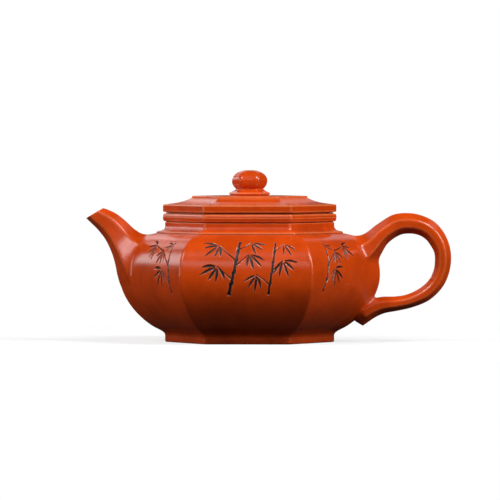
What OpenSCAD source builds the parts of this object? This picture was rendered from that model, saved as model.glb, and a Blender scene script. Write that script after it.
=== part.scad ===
// Six-sided clay teapot, built the way a potter builds one: slabs, strips and
// mouldings luted together into a pot, and a loose lid that drops into its mouth.
// The pot stands on z = 0 with its axis on z. The spout points along -x and the
// handle along +x, each on a ridge, and a flat wall faces the front (-y).
// A hexagon's size is given by its flat radius: half the distance across its flats.

/* [Wall] */
// Flat radius of the belly at its widest
belly_r = 49.5; // [46:0.5:54]
// Height of the belly's widest line above the table
belly_z = 29.5; // [27:0.5:32]
// Thickness of the wall slabs
wall_t = 3; // [2.5:0.1:3.4]
// Rounding of the ridges between the wall slabs
ridge_r = 1.7; // [1:0.1:2.2]
// Height of the wall's top edge above the table
wall_top_z = 47.4; // [45.5:0.1:49]
// Flat radius where the foot flare runs out into the belly
flare_r = 37; // [36:0.25:38]
// Height where the foot flare runs out into the belly
flare_z = 7; // [6.4:0.1:7.6]

// How far the wall stays upright above and below the belly
belly_pull = 9; // [7:0.5:11]
// How far out the shoulder's curve reaches before it turns down
shoulder_pull = 10; // [8:0.5:12]

/* [Foot and base] */
// Flat radius of the foot
foot_r = 32.2; // [31:0.1:33]
// Height of the foot ring
foot_h = 3.1; // [2.7:0.1:3.6]
// Width of the foot ring's standing face
foot_w = 4.6; // [3.8:0.1:5.4]
// Rounding of the foot's lower edges
foot_edge_r = 0.7; // [0.4:0.1:0.9]
// Height of the hollow under the base slab
base_z = 2; // [1.4:0.1:2.2]
// Thickness of the base slab
base_t = 3; // [2.5:0.1:3.5]

/* [Shoulder and mouth] */
// Flat radius of the neck
neck_r = 32.2; // [29:0.1:35]
// Thickness of the neck band, from the mouth opening to the outside
neck_t = 3.4; // [2.8:0.1:4]
// Height of the neck band above the shoulder slab
neck_h = 4.1; // [3.6:0.1:4.6]
// Width of the shoulder, from the neck to the wall's top edge
shoulder_w = 3.8; // [3:0.1:4.8]
// Distance that the shoulder's raised edge stands back from the wall's top edge
step_in = 0.5; // [0.4:0.05:0.8]
// Height of the shoulder slab's raised edge above the wall
step_h = 0.95; // [0.7:0.05:1.2]
// Distance that the mouth moulding stands out from the neck
rim_out = 0.9; // [0.6:0.05:1.3]
// Height of the mouth moulding
rim_h = 3.7; // [3.2:0.1:4.2]

/* [Lid] */
// Distance that the lid's edge stands back from the mouth moulding's
lid_in = 0.1; // [0:0.05:0.3]
// Height of the lid's edge moulding
lid_edge_h = 3.6; // [3.2:0.1:4]
// Gap between the lid's underside and the mouth
seat_gap = 0.1; // [0.05:0.05:0.3]
// Gap all round between the lid's lip and the mouth
lip_gap = 0.35; // [0.25:0.05:0.5]
// Thickness of the lip
lip_t = 2.3; // [1.9:0.1:2.7]
// Depth that the lip reaches below the lid's underside
lip_h = 6.2; // [5:0.1:7]
// Rise of the roof slab from the lid's edge to the plate
roof_h = 2.7; // [2.2:0.1:3.4]
// Thickness of the roof slab
roof_t = 3; // [2.4:0.1:3.4]
// Width of the roof's slope, from the lid's edge to the plate
roof_w = 10.9; // [9:0.1:13]
// Thickness of the plate at its edge
plate_h = 1.2; // [0.9:0.1:1.6]

/* [Knob] */
// Flat radius of the knob at its widest
knob_r = 7.05; // [6.4:0.05:7.8]
// Height of the knob
knob_h = 8.2; // [7.4:0.1:9]
// Flat radius of the knob's collar
collar_r = 7.9; // [7.4:0.1:8.6]
// Height of the knob's collar
collar_h = 2.8; // [2.4:0.1:3.2]
// Diameter of the vent through the knob
vent_d = 1.8; // [1.4:0.1:2.2]

/* [Spout] */
// Reach of the spout's lip beyond the belly's ridge
spout_reach = 14.6; // [12:0.2:17]
// Rise of the spout's lip above the wall's top edge
spout_rise = 11.2; // [9:0.2:13]
// Half the width of the spout at its root
spout_half_w = 10.4; // [9:0.1:11.5]
// Thickness of the spout's wall
spout_t = 2; // [1.6:0.1:2.2]
// Rounding of the spout's ridges
spout_ridge_r = 1.1; // [0.6:0.1:1.4]
// Radius of the hole through the wall behind the spout
outlet_r = 5.4; // [4.8:0.1:6]
// Height of that hole's axis above the table
outlet_z = 36; // [35:0.25:37]
// Outer radius of the ball strainer
strainer_r = 8.4; // [7.8:0.1:9]
// Thickness of the ball strainer
strainer_t = 1.2; // [1:0.1:1.5]
// How far the ball's middle stands in from the wall's inner corner
strainer_set = 1.9; // [1.5:0.1:2.4]
// Diameter of the strainer's holes
strainer_hole_d = 1.5; // [1.2:0.1:1.7]

/* [Handle] */
// Reach of the handle beyond the belly's ridge
handle_reach = 31.1; // [28:0.2:34]
// Rise of the handle above the wall's top edge
handle_rise = 9.2; // [7:0.2:11]
// Half the width of the handle at its upper root
handle_half_w = 9.6; // [8.5:0.1:10.5]
// Rounding of the handle's ridges
handle_ridge_r = 1.2; // [0.8:0.1:1.5]

/* [Hidden] */

clay = "#c8501e";
clay_deep = "#b04016";
clay_light = "#d6622c";

ridge_steps = 4;                  // flats that round one ridge of the pot
small_ridge_r = 1.1;              // rounding of the ridges on mouldings and lid
sharp_ridge_r = 0.4;              // rounding of hidden corners
curve_steps = 9;                  // straight steps in one curve of the wall
neck_flare = 1.7;                 // how far the neck's foot spreads on the shoulder
$fn = 48;

// Flat radii and heights that follow from the sizes above
wall_top_r = neck_r + shoulder_w;
step_r = wall_top_r - step_in;
mouth_r = neck_r - neck_t;
rim_r = neck_r + rim_out;
lid_r = rim_r - lid_in;
lip_r = mouth_r - lip_gap;
plate_r = lid_r - roof_w;
step_z = wall_top_z + step_h;     // top of the shoulder's raised edge
ledge_z = step_z + 0.25;          // shoulder ledge where it meets the neck
neck_top_z = ledge_z + neck_h;
mouth_z = neck_top_z + rim_h;     // face that the lid rests on
lid_z = mouth_z + seat_gap;       // underside of the lid
roof_z = lid_z + lid_edge_h;      // joint of roof slab and edge moulding
plate_z = roof_z + roof_h;
plate_top_z = plate_z + plate_h;
knob_z = plate_top_z + collar_h;
belly_corner = corner(belly_r);   // the belly's ridge, measured from the axis

// ---------- curves ----------

function corner(flat_r) = flat_r / cos(30);

function bezier(p, steps) = [for (i = [0:steps]) let (t = i / steps, u = 1 - t)
    u * u * u * p[0] + 3 * u * u * t * p[1] + 3 * u * t * t * p[2] + t * t * t * p[3]];

function arc(centre, r, from, to, steps) = [for (i = [0:steps])
    let (a = from + (to - from) * i / steps) centre + r * [cos(a), sin(a)]];

function tail(list, first = 1) = [for (i = [first:len(list) - 1]) list[i]];
function reverse(list) = [for (i = [len(list) - 1:-1:0]) list[i]];

// A smooth run through rows of key numbers, with some steps from each to the next
function spline(keys, steps) = [
    for (k = [0:len(keys) - 2], s = [0:steps - 1]) let (
        a = keys[max(k - 1, 0)], b = keys[k], c = keys[k + 1],
        d = keys[min(k + 2, len(keys) - 1)], t = s / steps)
        b + (c - a) * t / 2 + (2 * a - 5 * b + 4 * c - d) * t * t / 2
            + (3 * b - a - 3 * c + d) * t * t * t / 2,
    keys[len(keys) - 1]];

// The curve moved sideways by d, to the left of its direction
function beside(curve, d) = [for (i = [0:len(curve) - 1]) let (
    along = curve[min(i + 1, len(curve) - 1)] - curve[max(i - 1, 0)])
    curve[i] + d * [-along[1], along[0]] / norm(along)];

// ---------- hexagonal solids ----------

// One ridge's rounding, from angle a to angle b, on a hexagon of that flat radius
function ridge(flat_r, r, z, at, a, b, steps) = [for (i = [0:steps]) let (
    t = a + (b - a) * i / steps, c = (flat_r - r) / cos(30))
    [c * cos(at) + r * cos(t), c * sin(at) + r * sin(t), z]];

function hex_ring(flat_r, r, z) = [for (k = [0:5])
    each ridge(flat_r, r, z, 60 * k, 60 * k - 30, 60 * k + 30, ridge_steps)];

// Half a ridge, a flat and half a ridge: sixth k of a hexagon
function wall_row(flat_r, r, z, k) = concat(
    ridge(flat_r, r, z, 60 * k, 60 * k, 60 * k + 30, ridge_steps / 2),
    ridge(flat_r, r, z, 60 * k + 60, 60 * k + 30, 60 * k + 60, ridge_steps / 2));

// A solid whose surface runs through rows of points. Rows close on themselves
// if round is true, and the stack of rows closes on itself if ring is true. A slab
// (round false, ring true) has its outer rows first, then as many inner ones back.
module skin(rows, round = true, ring = false) {
    n = len(rows[0]);
    m = len(rows);
    sides = [for (i = [m - (ring ? 1 : 2):-1:0], j = [n - (round ? 1 : 2):-1:0])
        let (i2 = (i + 1) % m, j2 = (j + 1) % n)
        each [[i * n + j, i2 * n + j2, i * n + j2], [i * n + j, i2 * n + j, i2 * n + j2]]];
    row_ends = ring ? [] : [[for (j = [0:n - 1]) j], [for (j = [n - 1:-1:0]) (m - 1) * n + j]];
    side_ends = round ? [] : [for (i = [0:m / 2 - 2]) let (a = i, b = i + 1, c = m - 2 - i)
        each [[c * n + n, c * n, b * n, a * n],
            [a * n + n - 1, b * n + n - 1, c * n + n - 1, c * n + 2 * n - 1]]];
    polyhedron([for (row = rows) each row], concat(sides, row_ends, side_ends));
}

// A closed outline of points turned round the hexagon, anticlockwise. A point is
// [flat radius, height] and may add a third number, its own rounding at the ridges.
module hex_moulding(outline, r = small_ridge_r)
    skin([for (p = outline) hex_ring(p[0], p[2] == undef ? r : p[2], p[1])], ring = true);

// A stack of hexagons from the bottom up, closed at both ends
module hex_stack(outline, r = small_ridge_r)
    skin([for (p = outline) hex_ring(p[0], min(r, 0.9 * p[0]), p[1])]);

// ---------- wall ----------

wall_curve = concat(
    bezier([[foot_r, foot_h], [foot_r + 0.1, foot_h + 1.6],
        [flare_r - 1.9, flare_z - 1.4], [flare_r, flare_z]], 5),
    tail(bezier([[flare_r, flare_z], [flare_r + 6.4, flare_z + 4.7],
        [belly_r, belly_z - belly_pull], [belly_r, belly_z]], curve_steps)),
    tail(bezier([[belly_r, belly_z], [belly_r, belly_z + belly_pull],
        [wall_top_r + shoulder_pull, wall_top_z - 1.8], [wall_top_r, wall_top_z]],
        curve_steps + 2)));
inside_curve = concat([[foot_r - wall_t, foot_h]], tail(beside(wall_curve, wall_t)));
wall_end = inside_curve[len(inside_curve) - 1];   // inner edge of the wall's top

// One slab of the wall, mitred at the ridges. Slab 0 faces 30 degrees from +x.
module wall_slab(k) color(k % 2 ? clay : clay_light) skin(concat(
    [for (p = wall_curve) wall_row(p[0], ridge_r, p[1], k)],
    [for (p = reverse(inside_curve)) wall_row(p[0], sharp_ridge_r, p[1], k)]),
    round = false, ring = true);

// The filled side of the pot round the ridge at one angle, as far as the next corners
module ridge_side(curve, r, at) skin([for (p = curve) let (c = corner(p[0])) concat(
    [[c * cos(at - 60), c * sin(at - 60), p[1]]],
    ridge(p[0], r, p[1], at, at - 30, at + 30, ridge_steps),
    [[c * cos(at + 60), c * sin(at + 60), p[1]]])]);

// The outlet is whittled to twelve flats, with no corner on the mitre
module outlet() translate([-belly_corner - wall_t, 0, outlet_z])
    rotate([15, 0, 0]) rotate([0, 90, 0]) cylinder(h = 4 * wall_t, r = outlet_r, $fn = 12);

// ---------- foot, base, shoulder and mouth ----------

module foot_ring() color(clay_deep) {
    inner = foot_r - foot_w;
    rebate = foot_r - wall_t;
    hex_moulding(concat(
        arc([foot_r - foot_edge_r, foot_edge_r], foot_edge_r, -90, 0, 3),
        [[foot_r, foot_h], [rebate, foot_h, sharp_ridge_r], [rebate, base_z, sharp_ridge_r],
            [inner, base_z]],
        arc([inner + foot_edge_r, foot_edge_r], foot_edge_r, 180, 270, 3)), ridge_r);
}

// The base slab's edge leans against the inside of the wall slabs
module base_slab() color(clay_deep) {
    top = base_z + base_t;
    hex_stack(concat([[foot_r - wall_t, base_z]],
        [for (p = inside_curve) if (p[1] < top - 0.1) p],
        [[lookup(top, [for (p = inside_curve) [p[1], p[0]]]), top]]), sharp_ridge_r);
}

module shoulder_slab() color(clay_light) {
    under = wall_end[1];
    hex_moulding([
        [wall_top_r, wall_top_z, ridge_r], [step_r, wall_top_z + 0.05], [step_r, step_z - 0.3],
        [step_r - 0.3, step_z], [neck_r + neck_flare, ledge_z], [mouth_r, ledge_z],
        [mouth_r, under], [wall_end[0], under, sharp_ridge_r]]);
}

module neck_band() color(clay) {
    hex_moulding(concat(
        bezier([[neck_r + neck_flare, ledge_z], [neck_r + 0.6, ledge_z + 0.3],
            [neck_r, ledge_z + 1.1], [neck_r, ledge_z + 2.4]], 5),
        [[neck_r, neck_top_z], [mouth_r, neck_top_z], [mouth_r, ledge_z]]));
}

module mouth_moulding() color(clay_light) {
    edge = 0.7;
    hex_moulding(concat(
        [[neck_r - 0.1, neck_top_z]],
        arc([rim_r - edge - 0.2, neck_top_z + edge], edge, -90, -30, 3),
        [[rim_r, neck_top_z + rim_h * 0.5]],
        arc([rim_r - edge - 0.15, mouth_z - edge], edge, 10, 90, 4),
        [[mouth_r, mouth_z], [mouth_r, neck_top_z]]));
}

// ---------- spout and handle ----------

// A six-sided section with its points at 0 and at height h, as [across, up] corners
function section(h, half_w, low, high) = [
    [0, 0], [half_w, low * h], [half_w, (1 - high) * h],
    [0, h], [-half_w, (1 - high) * h], [-half_w, low * h]];

// The same with each corner rounded over about the distance r
function rounded(corners, r) = [for (i = [0:len(corners) - 1]) let (
    c = corners[i], n = len(corners),
    a = corners[(i + n - 1) % n] - c, b = corners[(i + 1) % n] - c,
    p = c + a * min(0.45, r / norm(a)), q = c + b * min(0.45, r / norm(b)))
    each [p, (p + 2 * c + q) / 4, q]];

// A section set between two points of the x-z plane, its sides spread along y.
// A key is [low x, low z, high x, high z, half width].
function placed(key, low, high, r, inset = 0) = let (
    from = [key[0], key[1]], to = [key[2], key[3]], h = norm(to - from),
    up = (to - from) / h,
    ring = rounded(section(h - 2 * inset, key[4] - inset * 0.9, low, high), r))
    [for (p = ring) let (q = from + up * (p[1] + inset)) [q[0], p[0], q[1]]];

// Keys are drawn out from the belly's ridge and up from the table, for the usual reach,
// height and half width. Here they are stretched to the sizes that are asked for.
function from_belly(keys, side, usual, asked) = let (
    across = asked[0] / usual[0], up = asked[1] / usual[1], wide = asked[2] / usual[2])
    [for (k = keys) [side * (belly_corner + k[0] * across), k[1] * up,
        side * (belly_corner + k[2] * across), k[3] * up, k[4] * wide]];

// Each spout key: under ridge, top ridge, half width. The first is inside the wall.
spout_keys = from_belly([
    [-4.5, 17, -25, 37, 10.4],
    [-1, 23.5, -20.5, 43.5, 10.1],
    [0.7, 28.6, -16, 46.3, 9.4],
    [1.5, 32.6, -12.6, 47, 8.5],
    [2.5, 36.6, -9.8, 47.7, 7.3],
    [4.1, 40.8, -6.6, 49.8, 6],
    [6.3, 45, -3.2, 53, 5],
    [9.4, 48.9, 0.7, 56.1, 4.3],
    [12.3, 51.8, 4.2, 57.8, 3.9],
    [14.6, 54, 6.6, 58.6, 3.7]], -1,
    [14.6, 58.6, 10.4], [spout_reach, wall_top_z + spout_rise, spout_half_w]);
spout_low = 0.22;
spout_high = 0.27;

// Each handle key: outer ridge, inner ridge, half width, from the upper root round
// to the lower end. The first and the last two lie partly inside the wall.
handle_keys = from_belly([
    [-19, 43.4, -7.4, 26.6, 9.6],
    [-13.6, 45.8, -2.4, 32.8, 8.9],
    [-7.4, 47.4, 0.3, 38, 7.2],
    [-1.8, 51.5, 3.4, 43, 5.4],
    [5.2, 55.8, 8.4, 46.4, 4.5],
    [12.3, 56.6, 12.9, 47.1, 4.2],
    [18.4, 55.4, 16.9, 46.3, 4.1],
    [23.8, 52.6, 19.8, 44.4, 4],
    [27.8, 48, 21.9, 41.5, 3.8],
    [30.3, 42.2, 23.2, 38.8, 3.7],
    [31.1, 36, 23.4, 35.5, 3.5],
    [29.9, 29.4, 22.8, 31.6, 3.4],
    [26.9, 23.4, 20.8, 27.3, 3.3],
    [21.2, 18, 17, 23.8, 3.3],
    [13.8, 14.9, 11.8, 21.2, 3.3],
    [7.2, 13.4, 6.6, 20.2, 3.5],
    [1.6, 12.3, -0.4, 19.9, 3.9],
    [-3, 10.1, -7.6, 17.6, 4.4],
    [-7.4, 6.9, -15, 11.6, 4.6]], 1,
    [31.1, 56.6, 9.6], [handle_reach, wall_top_z + handle_rise, handle_half_w]);
handle_low = 0.28;
handle_high = 0.22;

module spout() color(clay) difference() {
    keys = spline(spout_keys, 2);
    thin = 0.35 / (len(keys) - 1);    // the wall thins by this much from row to row
    outside = [for (k = keys) placed(k, spout_low, spout_high, spout_ridge_r)];
    bore = [for (i = [0:len(keys) - 1])
        placed(keys[i], spout_low, spout_high, spout_ridge_r, spout_t * (1 - thin * i))];
    skin(reverse(concat(outside, reverse(bore))), ring = true);
    ridge_side(wall_curve, ridge_r, 180);
}

module handle() color(clay_deep) difference() {
    skin([for (k = spline(handle_keys, 2))
        placed(k, handle_low, handle_high, handle_ridge_r)]);
    ridge_side(wall_curve, ridge_r, 0);
}

// A perforated ball luted over the outlet, inside the wall
module ball_strainer() color(clay_light) intersection() {
    translate([-corner(belly_r - wall_t) + strainer_set, 0, outlet_z]) difference() {
        sphere(strainer_r);
        sphere(strainer_r - strainer_t);
        for (turn = [[0, 1], [30, 5], [56, 9]], i = [0:turn[1] - 1])
            rotate([360 * i / turn[1], 0, 0]) rotate([0, 90 - turn[0], 0])
                translate([0, 0, strainer_r * 0.6])
                    cylinder(h = strainer_r, d = strainer_hole_d, $fn = 24);
    }
    ridge_side(inside_curve, sharp_ridge_r, 180);
}

// ---------- lid ----------

roof_curve = bezier([[lid_r - 0.5, roof_z], [lid_r - 5.2, roof_z + 0.5],
    [plate_r + 2.6, roof_z + roof_h * 0.45], [plate_r + 0.3, plate_z]], 8);

module lid_edge_moulding() color(clay_light) {
    edge = 0.5;
    hex_moulding(concat(
        arc([lid_r - edge, lid_z + edge], edge, -90, 0, 3),
        arc([lid_r - edge, roof_z - edge], edge, 0, 90, 3),
        [[lip_r - lip_t, roof_z], [lip_r - lip_t, lid_z]]));
}

module lid_roof_slab() color(clay) difference() {
    hex_stack(concat([[lip_r - lip_t, roof_z - roof_t + 1.6], [lip_r - lip_t, roof_z]],
        roof_curve));
    vent();
}

module lid_plate() color(clay_light) difference() {
    edge = 0.35;
    hex_stack(concat([[plate_r, plate_z]],
        arc([plate_r - edge, plate_top_z - 0.2 - edge], edge, 0, 90, 3),
        [[collar_r, plate_top_z]]));
    vent();
}

module lid_lip() color(clay_deep) {
    edge = 0.5;
    foot = lid_z - lip_h;
    hex_moulding(concat(
        [[lip_r - lip_t, foot], [lip_r - edge, foot], [lip_r, foot + edge], [lip_r, lid_z],
            [lip_r - lip_t, lid_z]]));
}

module knob_collar() color(clay_light) difference() {
    hex_stack(concat([[collar_r - 0.6, plate_top_z]],
        arc([collar_r - 0.5, plate_top_z + 0.8], 0.5, -45, 60, 4),
        tail(bezier([[collar_r - 0.3, plate_top_z + 1.25], [collar_r - 1.4, plate_top_z + 1.8],
            [5.8, plate_top_z + 2.1], [5.4, knob_z]], 5))), 1);
    vent();
}

module knob() color(clay_deep) difference() {
    wide_z = knob_z + knob_h * 0.45;
    hex_stack([for (p = concat(
        bezier([[5.4, knob_z], [knob_r - 0.5, knob_z + 1],
            [knob_r, wide_z - 1.4], [knob_r, wide_z]], 5),
        tail(bezier([[knob_r, wide_z], [knob_r, wide_z + 2.7],
            [knob_r - 2.8, knob_z + knob_h], [0.9, knob_z + knob_h]], 8)))) p], 2.6);
    vent();
}

module vent() translate([0, 0, roof_z - roof_t])
    cylinder(h = knob_z + knob_h - roof_z + 2 * roof_t, d = vent_d);

// ---------- nodes ----------

module left_wall(k) difference() {
    wall_slab(k);
    outlet();
}

foot_ring();
base_slab();
wall_slab(0);  // wall_right_back
wall_slab(1);  // wall_back
left_wall(2);  // wall_left_back
left_wall(3);  // wall_left_front
wall_slab(4);  // wall_front
wall_slab(5);  // wall_right_front
shoulder_slab();
neck_band();
mouth_moulding();
spout();
ball_strainer();
handle();
lid_edge_moulding();
lid_roof_slab();
lid_plate();
lid_lip();
knob_collar();
knob();
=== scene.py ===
# A six-sided clay teapot with a loose lid, in polished red clay,
# with bamboo engraved on the three front walls.
import math

import bpy
import numpy as np
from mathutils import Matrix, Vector
from mathutils.bvhtree import BVHTree


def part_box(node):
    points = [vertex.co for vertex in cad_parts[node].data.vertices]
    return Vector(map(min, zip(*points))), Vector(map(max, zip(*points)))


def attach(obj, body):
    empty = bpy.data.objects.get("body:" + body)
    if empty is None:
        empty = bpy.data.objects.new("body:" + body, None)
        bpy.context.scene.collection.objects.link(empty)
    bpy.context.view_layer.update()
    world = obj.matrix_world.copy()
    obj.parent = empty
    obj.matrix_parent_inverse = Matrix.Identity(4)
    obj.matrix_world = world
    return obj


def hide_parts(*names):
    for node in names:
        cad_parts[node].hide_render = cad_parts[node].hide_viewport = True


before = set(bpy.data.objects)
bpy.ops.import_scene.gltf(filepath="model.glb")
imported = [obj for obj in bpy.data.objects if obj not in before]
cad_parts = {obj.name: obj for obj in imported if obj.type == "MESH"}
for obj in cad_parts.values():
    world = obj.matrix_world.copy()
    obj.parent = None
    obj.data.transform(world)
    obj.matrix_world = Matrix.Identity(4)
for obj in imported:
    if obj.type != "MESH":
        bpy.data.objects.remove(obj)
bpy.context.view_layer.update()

mm = 0.001  # sizes below are in millimetres, as the potter measures
cos30 = math.cos(math.pi / 6)


def say(stage):
    print("teapot:", stage)


# Sizes that the solid model already fixes.
# A flat faces the front, so y gives half the width across flats
def flatRadius(node):
    return -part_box(node)[0].y / mm


def lowEnd(node):
    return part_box(node)[0].z / mm


def highEnd(node):
    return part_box(node)[1].z / mm


# Curves, as rows of [flat radius, height]; a third number is the rounding at the ridges

def bezier(p, steps):
    t = np.linspace(0, 1, steps + 1)[:, None]
    p = np.array(p, float)
    return ((1 - t) ** 3 * p[0] + 3 * (1 - t) ** 2 * t * p[1]
            + 3 * (1 - t) * t * t * p[2] + t ** 3 * p[3])


def arc(centre, r, start, end, steps):
    a = np.radians(np.linspace(start, end, steps + 1))
    return np.stack([centre[0] + r * np.cos(a), centre[1] + r * np.sin(a)], 1)


def joined(*runs):
    kept = []
    for run in runs:
        for p in np.array(run, float).reshape(-1, np.shape(run)[-1]):
            if not kept or np.linalg.norm(kept[-1] - p) > 1e-5:
                kept.append(p)
    return np.array(kept)


def ridged(outline, r):
    return np.column_stack([outline, np.full(len(outline), r)])


def beside(curve, d):
    along = np.gradient(curve, axis=0)
    along /= np.linalg.norm(along, axis=1)[:, None]
    return curve + d * np.stack([-along[:, 1], along[:, 0]], 1)


# How far along a curve each of its points lies
def runLengths(curve):
    return np.concatenate([[0], np.cumsum(np.linalg.norm(np.diff(curve, axis=0), axis=1))])


# Values known at the points of a curve, read at the wanted lengths along it
def readAt(values, lengths, wanted):
    return np.stack([np.interp(wanted, lengths, column) for column in values.T], -1)


def evenly(curve, step):
    lengths = runLengths(curve)
    wanted = np.linspace(0, lengths[-1], max(2, int(round(lengths[-1] / step)) + 1))
    return readAt(curve, lengths, wanted)


sideShare = 0.45  # a rounded corner takes no more than this share of the side beside it


# Every hard corner of an outline is eased over a short distance, as a wet finger leaves it.
# A corner that turns by fewer degrees than least is left alone.
def eased(outline, ease, steps=4, least=20):
    n = len(outline)
    kept = []
    for i, p in enumerate(outline):
        before, after = outline[i - 1] - p, outline[(i + 1) % n] - p
        la, lb = np.linalg.norm(before[:2]), np.linalg.norm(after[:2])
        turn = math.degrees(math.acos(np.clip(-(before[:2] @ after[:2]) / (la * lb), -1, 1)))
        if turn < least:
            kept.append(p)
            continue
        a = p + before * min(sideShare, ease / la)
        b = p + after * min(sideShare, ease / lb)
        for t in np.linspace(0, 1, steps + 1):
            kept.append((1 - t) ** 2 * a + 2 * t * (1 - t) * p + t * t * b)
    return np.array(kept)


# Meshes

ridgeSteps = 10
ridgeColumn = 0.3  # a column this close to each ridge keeps the flat flat
fullest = 0.999  # a ridge's rounding takes no more than this share of the flat radius


# One turn round the hexagon: a ridge's rounding, then a flat, six times.
# Side k faces 60k + 30 degrees.
def hexRow(flatR, z, r, across):
    r = min(r, fullest * flatR)
    centre = (flatR - r) / cos30
    ridges = []
    for k in range(6):
        at = math.radians(60 * k)
        turn = at + np.radians(np.linspace(-30, 30, ridgeSteps + 1))
        ridges.append(np.stack([centre * math.cos(at) + r * np.cos(turn),
                                centre * math.sin(at) + r * np.sin(turn)], 1))
    row = []
    for k in range(6):
        start, end = ridges[k][-1], ridges[(k + 1) % 6][0]
        t = np.linspace(0, 1, across[k] + 2)[1:-1, None]
        t[0] = min(t[0, 0], ridgeColumn / np.linalg.norm(end - start))
        t[-1] = 1 - t[0]
        row += [ridges[k], start * (1 - t) + end * t]
    row = np.concatenate(row)
    return np.column_stack([row, np.full(len(row), z)])


def hexRows(outline, columns):
    return np.array([hexRow(p[0], p[1], p[2], columns) for p in outline])


def gridFaces(rows, columns, closed):
    i = np.arange(rows if closed else rows - 1)[:, None]
    j = np.arange(columns)[None, :]
    below, above = i * columns, (i + 1) % rows * columns
    j2 = (j + 1) % columns
    return np.stack([below + j, below + j2, above + j2, above + j], -1).reshape(-1, 4)


def makePiece(name, points, faces, materials, smoothAngle=38, chosen=None):
    mesh = bpy.data.meshes.new(name)
    mesh.from_pydata((np.asarray(points) * mm).tolist(), [], [list(f) for f in faces])
    for m in materials:
        mesh.materials.append(m)
    if chosen is not None:
        mesh.polygons.foreach_set("material_index", np.asarray(chosen, np.int32))
    mesh.polygons.foreach_set("use_smooth", np.ones(len(mesh.polygons), bool))
    mesh.set_sharp_from_angle(angle=math.radians(smoothAngle))
    mesh.validate()
    mesh.update()
    piece = bpy.data.objects.new(name, mesh)
    bpy.context.scene.collection.objects.link(piece)
    markEdges(mesh)
    return piece


# Stores how strongly the clay bends at each point: convex, for the burnish and painted highlight
# on ridges, and concave, for painted shade in creases. Bends of 1 / reach per millimetre count in
# full.
def markEdges(mesh, reach=0.55):
    n = len(mesh.vertices)
    co = np.empty(n * 3, np.float32)
    normal = np.empty(n * 3, np.float32)
    mesh.vertices.foreach_get("co", co)
    mesh.vertex_normals.foreach_get("vector", normal)
    co, normal = co.reshape(-1, 3).astype(float) / mm, normal.reshape(-1, 3).astype(float)
    edges = np.empty(len(mesh.edges) * 2, np.int32)
    mesh.edges.foreach_get("vertices", edges)
    a, b = edges.reshape(-1, 2).T
    d = co[a] - co[b]
    length2 = np.maximum((d * d).sum(1), 1e-6)
    bend = ((normal[a] - normal[b]) * d).sum(1) / length2
    convex, concave = np.zeros(n), np.zeros(n)
    for ends in (a, b):
        np.maximum.at(convex, ends, bend)
        np.maximum.at(concave, ends, -bend)
    for label, values in (("convex", convex), ("concave", concave)):
        layer = mesh.attributes.new(label, "FLOAT", "POINT")
        layer.data.foreach_set("value", np.clip(values * reach, 0, 1).astype(np.float32))


# Extra points just before and after every long straight, so that its shading stays flat
def framed(outline, margin=0.25):
    kept = []
    for a, b in zip(outline, np.roll(outline, -1, axis=0)):
        kept.append(a)
        length = np.linalg.norm((b - a)[:2])
        if length > 3 * margin:
            kept += [a + (b - a) * margin / length, b - (b - a) * margin / length]
    return np.array(kept)


def hexPiece(name, outline, material, across=8):
    rows = hexRows(framed(outline), [across] * 6)
    m, n = rows.shape[:2]
    return makePiece(name, rows.reshape(-1, 3), gridFaces(m, n, True), [material])


def finishPiece(piece, body, slot, *nodes):
    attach(piece, body)
    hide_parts(*nodes)


# Shader helpers

def newGroup(name, inputs, outputs):
    group = bpy.data.node_groups.new(name, "ShaderNodeTree")
    kind = "NodeSocketFloat"
    for label, value in inputs.items():
        socket = group.interface.new_socket(name=label, in_out="INPUT", socket_type=kind)
        socket.default_value = value
    for label in outputs:
        group.interface.new_socket(name=label, in_out="OUTPUT", socket_type=kind)
    return group, group.nodes.new("NodeGroupInput"), group.nodes.new("NodeGroupOutput")


def addNode(tree, kind, **settings):
    node = tree.nodes.new("ShaderNode" + kind)
    for key, value in settings.items():
        setattr(node, key, value)
    return node


# A socket takes a link or a plain value
def feed(tree, sockets, values):
    for socket, value in zip(sockets, values):
        if isinstance(value, bpy.types.NodeSocket):
            tree.links.new(value, socket)
        else:
            socket.default_value = value


def calc(tree, operation, a, b, clamp=False):
    node = addNode(tree, "Math", operation=operation, use_clamp=clamp)
    feed(tree, node.inputs, (a, b))
    return node.outputs[0]


def times(tree, a, b):
    return calc(tree, "MULTIPLY", a, b)


def plus(tree, a, b):
    return calc(tree, "ADD", a, b)


def span(tree, value, low, high, newLow=0.0, newHigh=1.0):
    node = addNode(tree, "MapRange", interpolation_type="SMOOTHSTEP")
    feed(tree, node.inputs, (value, low, high, newLow, newHigh))
    return node.outputs[0]


def noise(tree, place, scale, detail, roughness):
    node = addNode(tree, "TexNoise")
    feed(tree, [node.inputs[label] for label in ("Vector", "Scale", "Detail", "Roughness")],
         (place, scale, detail, roughness))
    return node.outputs["Fac"]


def mixColour(tree, share, a, b):
    node = addNode(tree, "Mix", data_type="RGBA")
    colours = [s for s in node.inputs if s.type == "RGBA"]
    feed(tree, [node.inputs[0]] + colours[:2], (share, a, b))
    return [s for s in node.outputs if s.type == "RGBA"][0]


def objectPlace(tree):
    return addNode(tree, "TexCoord").outputs["Object"]


def storedValue(tree, label):
    return addNode(tree, "Attribute", attribute_name=label).outputs["Fac"]


def srgb(r, g, b):
    return tuple((v / 255 / 12.92 if v <= 10 else ((v / 255 + 0.055) / 1.055) ** 2.4)
                 for v in (r, g, b)) + (1.0,)


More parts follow.
